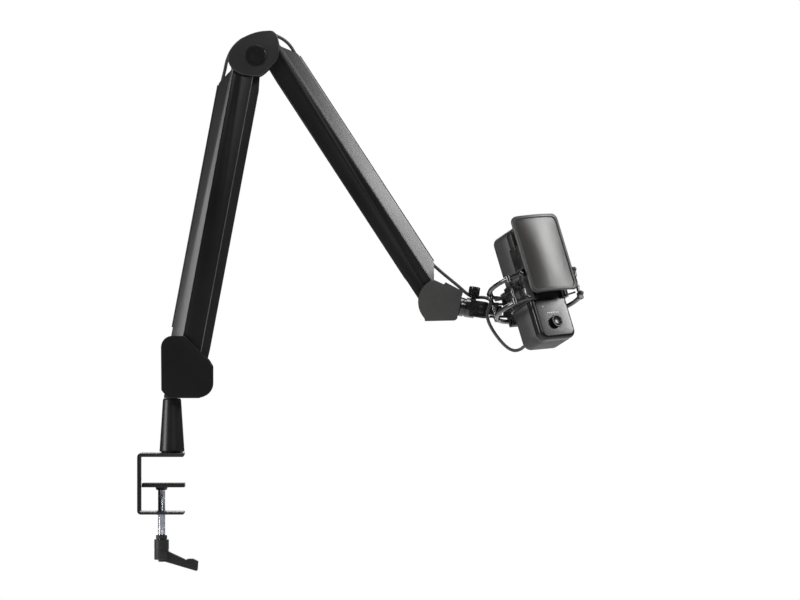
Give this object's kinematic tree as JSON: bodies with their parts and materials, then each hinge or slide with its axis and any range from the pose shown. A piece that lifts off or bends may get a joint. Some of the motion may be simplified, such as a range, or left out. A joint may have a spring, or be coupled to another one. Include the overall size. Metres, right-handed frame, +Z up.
{
  "type": "condenser microphone",
  "caption": "Desk condenser microphone with a pop screen, in an elastic mount on a jointed spring arm with a screw clamp.",
  "frame": {"origin": "On the riser's axis, on the face of the upper jaw's pad that rests on the desk top.", "axes": "+Z up, +X from the clamp's spine towards the microphone, +Y away from the side that the arm is seen from."},
  "size_m": [0.4775, 0.111, 0.5801],
  "materials": {
    "black_powder": "black powder coat, fine texture",
    "satin_grey": "satin dark grey paint",
    "black_plastic": "matt black moulded plastic",
    "grey_plastic": "matt dark grey moulded plastic",
    "gloss_black": "gloss black moulded plastic",
    "black_rubber": "black rubber",
    "plated_steel": "bright zinc-plated steel",
    "mesh_grey": "warm grey woven wire",
    "gold_film": "gold sputtered capsule",
    "green_board": "green solder mask"
  },
  "bodies": {
    "clamp": {"clamp_bracket": "black_powder", "desk_pad": "black_rubber", "riser_post": "satin_grey"},
    "pressure_plate": {"pressure_plate": "black_powder", "pressure_pad": "black_rubber"},
    "clamp_screw": {"clamp_screw": "plated_steel"},
    "clamp_lever": {"clamp_lever": "black_plastic"},
    "turret": {"base_cover_front": "black_powder", "base_cover_back": "black_powder", "base_bracket": "satin_grey", "base_arm_pin": "plated_steel", "base_tie_pin": "plated_steel"},
    "lower_arm": {"lower_arm_channel": "black_powder", "lower_arm_cover": "satin_grey", "lower_arm_cable": "black_rubber", "lower_arm_spring": "plated_steel"},
    "lower_tie": {"lower_tie_bar": "black_powder"},
    "elbow": {"elbow_cap_front": "satin_grey", "elbow_cap_back": "satin_grey", "elbow_bracket": "satin_grey", "elbow_lower_pin": "plated_steel", "elbow_upper_pin": "plated_steel", "elbow_lower_tie_pin": "plated_steel", "elbow_upper_tie_pin": "plated_steel", "elbow_lead": "black_rubber"},
    "upper_arm": {"upper_arm_channel": "black_powder", "upper_arm_cover": "satin_grey", "upper_arm_cable": "black_rubber", "upper_arm_spring": "plated_steel"},
    "upper_tie": {"upper_tie_bar": "black_powder"},
    "wrist": {"wrist_cover_front": "grey_plastic", "wrist_housing": "grey_plastic", "wrist_arm_pin": "plated_steel", "wrist_tie_pin": "plated_steel"},
    "tip": {"tip_barrel": "satin_grey", "tilt_pin": "plated_steel"},
    "thumbscrew": {"tip_thumbscrew": "black_plastic"},
    "tilt": {"tilt_lug": "black_powder"},
    "mount": {"mount_block": "black_plastic", "swivel_pin": "plated_steel", "ring_upper": "black_powder", "ring_lower": "black_powder", "post_front_left": "black_plastic", "post_front_right": "black_plastic", "post_back_left": "black_plastic", "post_back_right": "black_plastic", "band_upper": "black_rubber", "band_lower": "black_rubber"},
    "microphone": {"cradle": "satin_grey", "rear_shell": "black_plastic", "front_panel": "gloss_black", "front_grille": "satin_grey", "capsule": "gold_film", "circuit_board": "green_board", "usb_plug": "black_plastic", "microphone_lead": "black_rubber"},
    "encoder": {"encoder_shaft": "plated_steel"},
    "dial": {"dial": "black_plastic"},
    "pop_filter": {"pop_filter_frame": "black_powder", "pop_filter_screen": "mesh_grey"}
  },
  "joints": [
    {"name": "plate_travel", "type": "slide", "parent": "clamp", "child": "pressure_plate", "axis": [0, 0, 1], "range_m": [-0.0208, 0.0174]},
    {"name": "screw_turn", "type": "hinge", "parent": "pressure_plate", "child": "clamp_screw", "pos_m": [-0.0112, 0, -0.06], "axis": [0, 0, 1], "range_deg": [-6000, 5040]},
    {"name": "lever_lift", "type": "slide", "parent": "clamp_screw", "child": "clamp_lever", "axis": [0, 0, -1], "range_m": [0, 0.0035], "stiffness_N_per_m": 400},
    {"name": "turret_turn", "type": "hinge", "parent": "clamp", "child": "turret", "pos_m": [0, 0, 0.068], "axis": [0, 0, 1], "continuous": true},
    {"name": "lower_arm_pitch", "type": "hinge", "parent": "turret", "child": "lower_arm", "pos_m": [0.0097, 0, 0.0973], "axis": [0, 1, 0], "range_deg": [-8, 45], "deforming": ["lower_arm_spring"]},
    {"name": "lower_tie_pitch", "type": "hinge", "parent": "turret", "child": "lower_tie", "pos_m": [0.0301, 0, 0.0908], "axis": [0, 1, 0], "range_deg": [-8, 45]},
    {"name": "elbow_level", "type": "hinge", "parent": "lower_arm", "child": "elbow", "pos_m": [0.07179, 0, 0.42589], "axis": [0, 1, 0], "range_deg": [-45, 8]},
    {"name": "upper_arm_pitch", "type": "hinge", "parent": "elbow", "child": "upper_arm", "pos_m": [0.106, 0, 0.4405], "axis": [0, -1, 0], "range_deg": [-8, 50], "deforming": ["upper_arm_spring", "elbow_lead"]},
    {"name": "upper_tie_pitch", "type": "hinge", "parent": "elbow", "child": "upper_tie", "pos_m": [0.0997, 0, 0.4328], "axis": [0, -1, 0], "range_deg": [-8, 50]},
    {"name": "wrist_level", "type": "hinge", "parent": "upper_arm", "child": "wrist", "pos_m": [0.27731, 0, 0.17771], "axis": [0, -1, 0], "range_deg": [-50, 8]},
    {"name": "tip_roll", "type": "hinge", "parent": "wrist", "child": "tip", "pos_m": [0.3093, 0, 0.1614], "axis": [0.9887, 0, -0.1501], "range_deg": [-90, 90]},
    {"name": "thumbscrew_turn", "type": "hinge", "parent": "tip", "child": "thumbscrew", "pos_m": [0.32215, 0, 0.15945], "axis": [0.1501, 0, 0.9887], "continuous": true},
    {"name": "mic_tilt", "type": "hinge", "parent": "tip", "child": "tilt", "pos_m": [0.33204, 0, 0.15795], "axis": [0, 1, 0], "range_deg": [-25, 25], "deforming": ["microphone_lead"]},
    {"name": "mic_pan", "type": "hinge", "parent": "tilt", "child": "mount", "pos_m": [0.348, 0, 0.157], "axis": [0, 0, 1], "range_deg": [-20, 30]},
    {"name": "suspension", "type": "slide", "parent": "mount", "child": "microphone", "axis": [-0.2728, 0.2539, 0.928], "range_m": [-0.003, 0.003], "stiffness_N_per_m": 3000, "deforming": ["band_upper", "band_lower"]},
    {"name": "dial_press", "type": "slide", "parent": "microphone", "child": "encoder", "axis": [-0.541, 0.7571, -0.3662], "range_m": [0, 0.0005], "stiffness_N_per_m": 500},
    {"name": "dial_turn", "type": "hinge", "parent": "encoder", "child": "dial", "pos_m": [0.41146, -0.06091, 0.14545], "axis": [0.541, -0.7571, 0.3662], "continuous": true},
    {"name": "pop_filter_pull", "type": "slide", "parent": "microphone", "child": "pop_filter", "axis": [0.541, -0.7571, 0.3662], "range_m": [0, 0.012]}
  ],
  "couplings": [
    {"joint": "screw_turn", "follows": "plate_travel", "rad_per_m": 5026.5},
    {"joint": "lower_tie_pitch", "follows": "lower_arm_pitch", "ratio": 1},
    {"joint": "elbow_level", "follows": "lower_arm_pitch", "ratio": -1},
    {"joint": "upper_tie_pitch", "follows": "upper_arm_pitch", "ratio": 1},
    {"joint": "wrist_level", "follows": "upper_arm_pitch", "ratio": -1}
  ]
}
